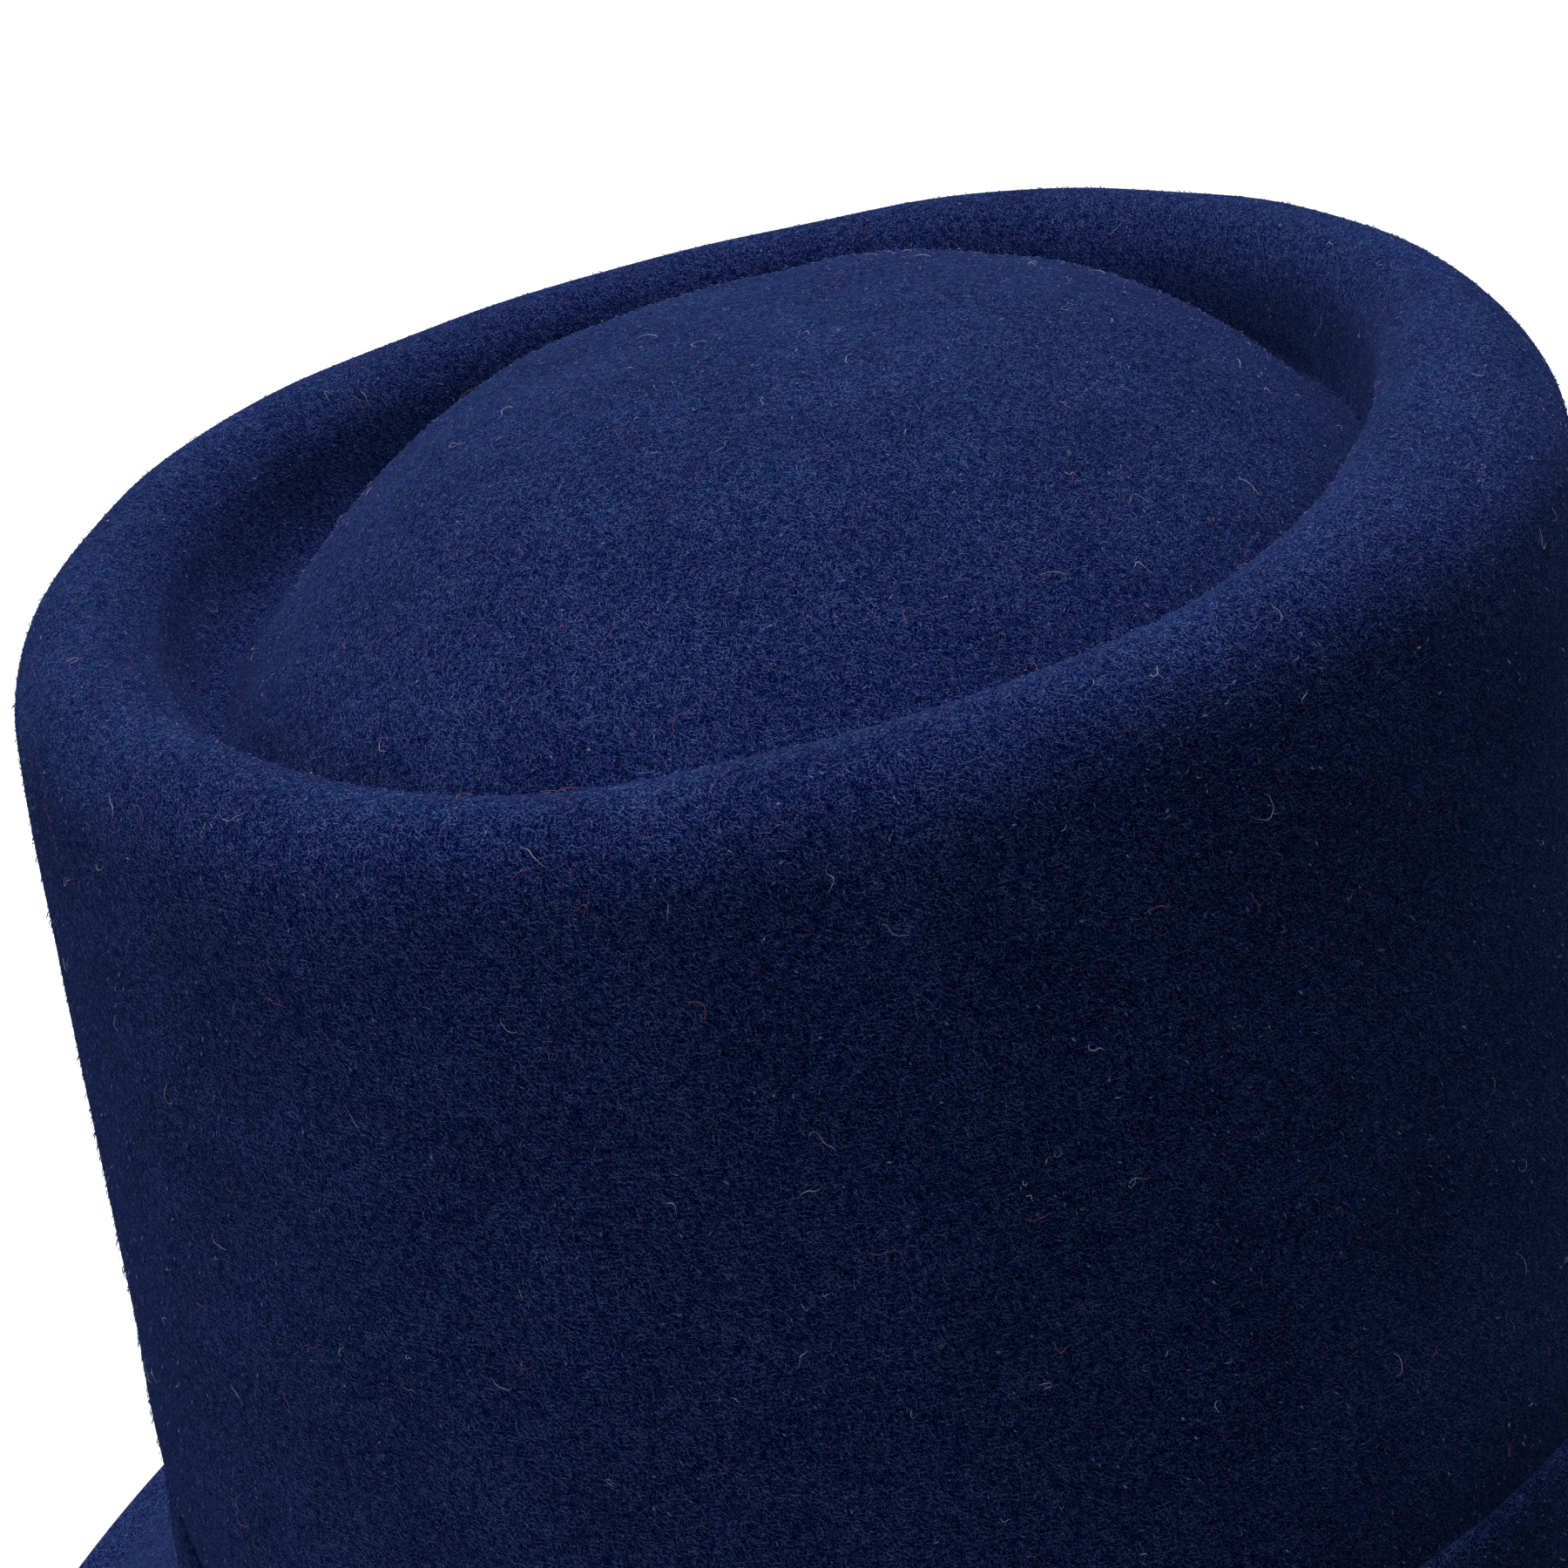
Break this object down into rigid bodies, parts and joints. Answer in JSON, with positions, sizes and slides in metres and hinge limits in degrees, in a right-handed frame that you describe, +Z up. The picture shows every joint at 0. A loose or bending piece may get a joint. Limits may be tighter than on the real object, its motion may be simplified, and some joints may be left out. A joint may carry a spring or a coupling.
{
  "type": "felt hat",
  "caption": "Tall felt hat: straight crown wall, rounded ridge round a sunk oval dome, self-felt band and a sloping brim. Worn on the head, open below.",
  "frame": {"origin": "on the surface that the brim rests on, under the middle of the brim's outline", "axes": "+Z up through the crown, +Y along the head's long axis, away from the end where the ridge is lower, +X across the head"},
  "size_m": [0.267, 0.329, 0.1753],
  "materials": {
    "body_felt": "matte wool felt with a short nap",
    "band_felt": "matte wool felt strip with a raw cut edge"
  },
  "bodies": {
    "root": {"felt_body": "body_felt", "hat_band": "band_felt"}
  },
  "joints": []
}
